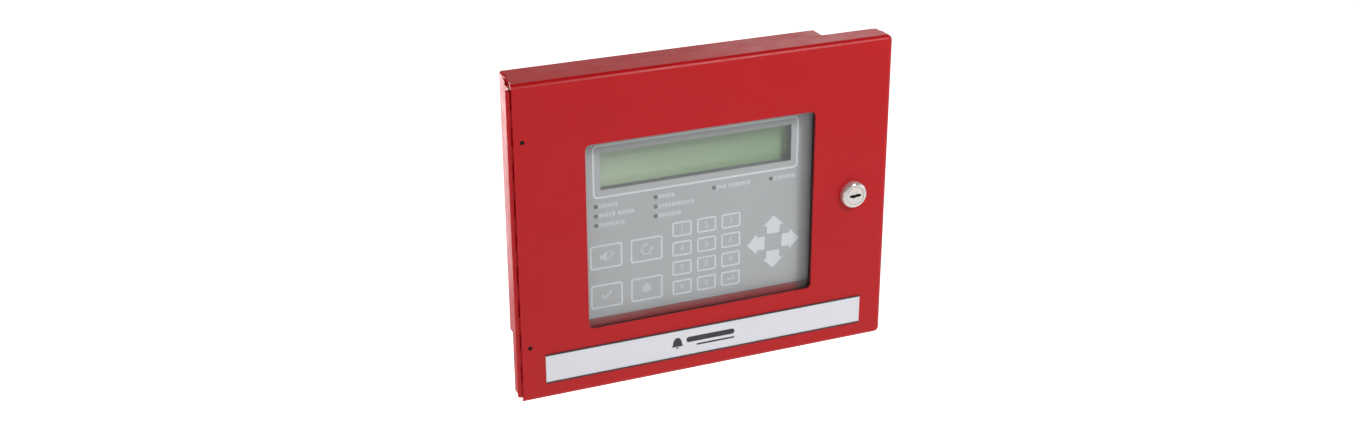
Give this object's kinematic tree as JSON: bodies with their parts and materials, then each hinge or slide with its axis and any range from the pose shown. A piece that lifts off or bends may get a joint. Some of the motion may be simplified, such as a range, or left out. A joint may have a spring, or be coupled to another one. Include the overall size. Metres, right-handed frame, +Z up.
{
  "type": "fire alarm control panel",
  "caption": "Red semi-flush fire alarm control panel: hinged key-locked door with a window over a text display, membrane keypad and status lamps.",
  "frame": {"origin": "centre of the back box's rear face", "axes": "+X right as seen from the front, +Z up, +Y into the wall; the door faces -Y"},
  "size_m": [0.2868, 0.0851, 0.2354],
  "materials": {
    "red_enamel": "semi-gloss powder coat",
    "zinc_steel": "zinc plated",
    "black_screw": "black oxide",
    "nickel": "polished nickel",
    "clear_pane": "clear, gloss",
    "black_rubber": "matte foam",
    "silver_label": "satin silver film",
    "grey_film": "satin polyester film",
    "light_film": "printed polyester film",
    "pale_ink": "print",
    "faint_ink": "print",
    "dark_ink": "print",
    "circuit_board": "solder mask",
    "black_steel": "satin black",
    "display_green": "satin polariser",
    "white_plastic": "satin",
    "black_plastic": "moulded",
    "led_lens": "smoked lens",
    "terminal_plastic": "moulded",
    "capacitor_sleeve": "shrink sleeve",
    "ribbon_grey": "ribbed sleeve"
  },
  "bodies": {
    "enclosure": {"back_box": "red_enamel", "board_components": "black_plastic", "board_screws": "zinc_steel", "capacitors": "capacitor_sleeve", "dead_front_plate": "red_enamel", "dead_front_screws": "zinc_steel", "display_backlight": "white_plastic", "display_bezel": "black_steel", "display_board": "circuit_board", "display_glass": "display_green", "front_frame": "red_enamel", "ground_stud": "zinc_steel", "hinge_leaf_frame": "red_enamel", "hinge_pin": "zinc_steel", "key_board": "circuit_board", "key_switches": "black_plastic", "keypad_overlay": "grey_film", "main_board": "circuit_board", "main_board_standoffs": "zinc_steel", "panel_spacers": "zinc_steel", "ribbon_cable": "ribbon_grey", "ribbon_connectors": "black_plastic", "sounder": "black_plastic", "status_leds": "led_lens", "strike_bracket": "zinc_steel", "strike_screws": "zinc_steel", "terminal_blocks": "terminal_plastic", "terminal_screws": "zinc_steel"},
    "door": {"door_panel": "red_enamel", "hinge_leaf_door": "red_enamel", "hinge_screws": "black_screw", "window_pane": "clear_pane", "window_gasket": "black_rubber", "label_strip": "silver_label", "lock_housing": "nickel", "lock_nut": "zinc_steel"},
    "lock": {"lock_plug": "nickel", "lock_cam": "zinc_steel", "cam_screw": "zinc_steel"},
    "key_0": {"key_0": "grey_film"},
    "key_1": {"key_1": "grey_film"},
    "key_2": {"key_2": "grey_film"},
    "key_3": {"key_3": "grey_film"},
    "key_4": {"key_4": "grey_film"},
    "key_5": {"key_5": "grey_film"},
    "key_6": {"key_6": "grey_film"},
    "key_7": {"key_7": "grey_film"},
    "key_8": {"key_8": "grey_film"},
    "key_9": {"key_9": "grey_film"},
    "key_acknowledge": {"key_acknowledge": "grey_film"},
    "key_clear": {"key_clear": "grey_film"},
    "key_down": {"key_down": "light_film"},
    "key_drill": {"key_drill": "grey_film"},
    "key_enter": {"key_enter": "grey_film"},
    "key_left": {"key_left": "light_film"},
    "key_reset": {"key_reset": "grey_film"},
    "key_right": {"key_right": "light_film"},
    "key_silence": {"key_silence": "grey_film"},
    "key_up": {"key_up": "light_film"}
  },
  "joints": [
    {"name": "door_hinge", "type": "hinge", "parent": "enclosure", "child": "door", "pos_m": [-0.1401, -0.0766, 0], "axis": [0, 0, -1], "range_deg": [0, 180]},
    {"name": "lock_turn", "type": "hinge", "parent": "door", "child": "lock", "pos_m": [0.1163, -0.08, 0.0009], "axis": [0, -1, 0], "range_deg": [0, 90]},
    {"name": "press_0", "type": "slide", "parent": "enclosure", "child": "key_0", "axis": [0, 1, 0], "range_m": [0, 0.0004], "stiffness_N_per_m": 400},
    {"name": "press_1", "type": "slide", "parent": "enclosure", "child": "key_1", "axis": [0, 1, 0], "range_m": [0, 0.0004], "stiffness_N_per_m": 400},
    {"name": "press_2", "type": "slide", "parent": "enclosure", "child": "key_2", "axis": [0, 1, 0], "range_m": [0, 0.0004], "stiffness_N_per_m": 400},
    {"name": "press_3", "type": "slide", "parent": "enclosure", "child": "key_3", "axis": [0, 1, 0], "range_m": [0, 0.0004], "stiffness_N_per_m": 400},
    {"name": "press_4", "type": "slide", "parent": "enclosure", "child": "key_4", "axis": [0, 1, 0], "range_m": [0, 0.0004], "stiffness_N_per_m": 400},
    {"name": "press_5", "type": "slide", "parent": "enclosure", "child": "key_5", "axis": [0, 1, 0], "range_m": [0, 0.0004], "stiffness_N_per_m": 400},
    {"name": "press_6", "type": "slide", "parent": "enclosure", "child": "key_6", "axis": [0, 1, 0], "range_m": [0, 0.0004], "stiffness_N_per_m": 400},
    {"name": "press_7", "type": "slide", "parent": "enclosure", "child": "key_7", "axis": [0, 1, 0], "range_m": [0, 0.0004], "stiffness_N_per_m": 400},
    {"name": "press_8", "type": "slide", "parent": "enclosure", "child": "key_8", "axis": [0, 1, 0], "range_m": [0, 0.0004], "stiffness_N_per_m": 400},
    {"name": "press_9", "type": "slide", "parent": "enclosure", "child": "key_9", "axis": [0, 1, 0], "range_m": [0, 0.0004], "stiffness_N_per_m": 400},
    {"name": "press_acknowledge", "type": "slide", "parent": "enclosure", "child": "key_acknowledge", "axis": [0, 1, 0], "range_m": [0, 0.0004], "stiffness_N_per_m": 400},
    {"name": "press_clear", "type": "slide", "parent": "enclosure", "child": "key_clear", "axis": [0, 1, 0], "range_m": [0, 0.0004], "stiffness_N_per_m": 400},
    {"name": "press_down", "type": "slide", "parent": "enclosure", "child": "key_down", "axis": [0, 1, 0], "range_m": [0, 0.0004], "stiffness_N_per_m": 400},
    {"name": "press_drill", "type": "slide", "parent": "enclosure", "child": "key_drill", "axis": [0, 1, 0], "range_m": [0, 0.0004], "stiffness_N_per_m": 400},
    {"name": "press_enter", "type": "slide", "parent": "enclosure", "child": "key_enter", "axis": [0, 1, 0], "range_m": [0, 0.0004], "stiffness_N_per_m": 400},
    {"name": "press_left", "type": "slide", "parent": "enclosure", "child": "key_left", "axis": [0, 1, 0], "range_m": [0, 0.0004], "stiffness_N_per_m": 400},
    {"name": "press_reset", "type": "slide", "parent": "enclosure", "child": "key_reset", "axis": [0, 1, 0], "range_m": [0, 0.0004], "stiffness_N_per_m": 400},
    {"name": "press_right", "type": "slide", "parent": "enclosure", "child": "key_right", "axis": [0, 1, 0], "range_m": [0, 0.0004], "stiffness_N_per_m": 400},
    {"name": "press_silence", "type": "slide", "parent": "enclosure", "child": "key_silence", "axis": [0, 1, 0], "range_m": [0, 0.0004], "stiffness_N_per_m": 400},
    {"name": "press_up", "type": "slide", "parent": "enclosure", "child": "key_up", "axis": [0, 1, 0], "range_m": [0, 0.0004], "stiffness_N_per_m": 400}
  ]
}
